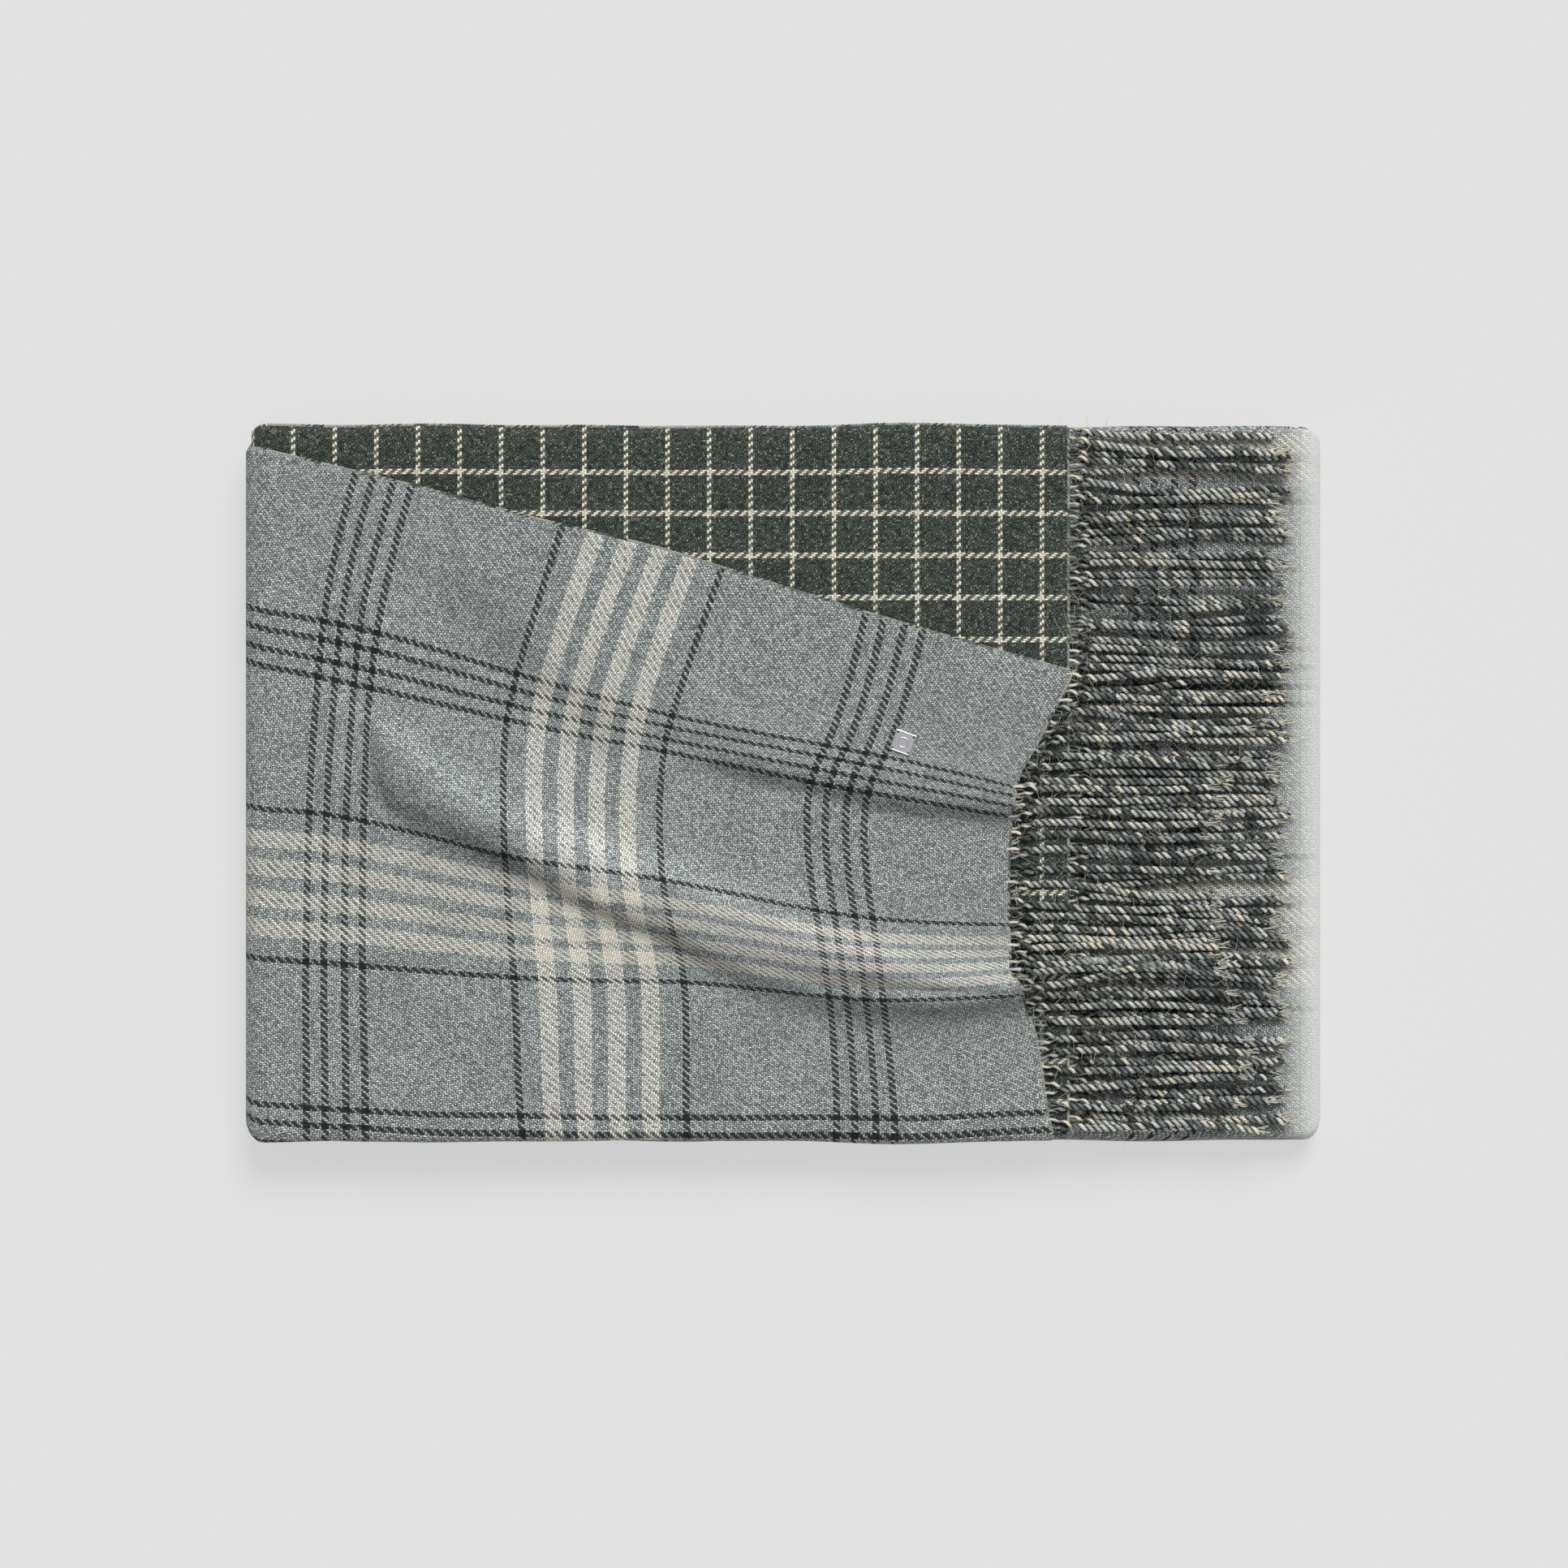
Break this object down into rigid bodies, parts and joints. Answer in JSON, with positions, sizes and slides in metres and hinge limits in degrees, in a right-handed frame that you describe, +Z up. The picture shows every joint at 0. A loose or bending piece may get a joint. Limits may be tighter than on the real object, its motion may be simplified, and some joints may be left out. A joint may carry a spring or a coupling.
{
  "type": "folded throw blanket",
  "caption": "Reversible woven throw blanket with twisted tassels, folded in half twice and then in three, with a slipped top leaf and a small square metal badge.",
  "frame": {"origin": "centre of the folded blanket's box, on the surface it lies on", "axes": "+X towards the end whose tassels show, +Y towards the free selvages, +Z up"},
  "size_m": [0.48, 0.32, 0.0363],
  "materials": {
    "cloth": "woven, matt",
    "tassel": "twisted yarn, matt",
    "badge": "satin, engraved",
    "pin": "blackened"
  },
  "bodies": {
    "base": {"bottom_panel_cloth": "cloth", "bottom_tassels_leaf_1": "tassel", "bottom_tassels_leaf_2": "tassel", "bottom_tassels_leaf_3": "tassel", "bottom_tassels_leaf_4": "tassel", "right_crease_cloth": "cloth"},
    "middle": {"middle_panel_cloth": "cloth", "left_crease_cloth": "cloth"},
    "top": {"top_panel_cloth": "cloth", "top_tassels_leaf_1": "tassel", "top_tassels_leaf_2": "tassel", "top_tassels_leaf_3": "tassel", "top_tassels_leaf_4": "tassel", "badge_plate": "badge", "badge_pin_1": "pin", "badge_pin_2": "pin", "badge_pin_3": "pin", "badge_pin_4": "pin"}
  },
  "joints": [
    {"name": "right_crease", "type": "hinge", "parent": "base", "child": "middle", "pos_m": [0.23508, 0, 0.00985], "axis": [0, 1, 0], "range_deg": [0, 178], "deforming": ["right_crease_cloth"]},
    {"name": "left_crease", "type": "hinge", "parent": "middle", "child": "top", "pos_m": [-0.23508, 0, 0.01985], "axis": [0, -1, 0], "range_deg": [0, 178], "deforming": ["left_crease_cloth"]}
  ]
}
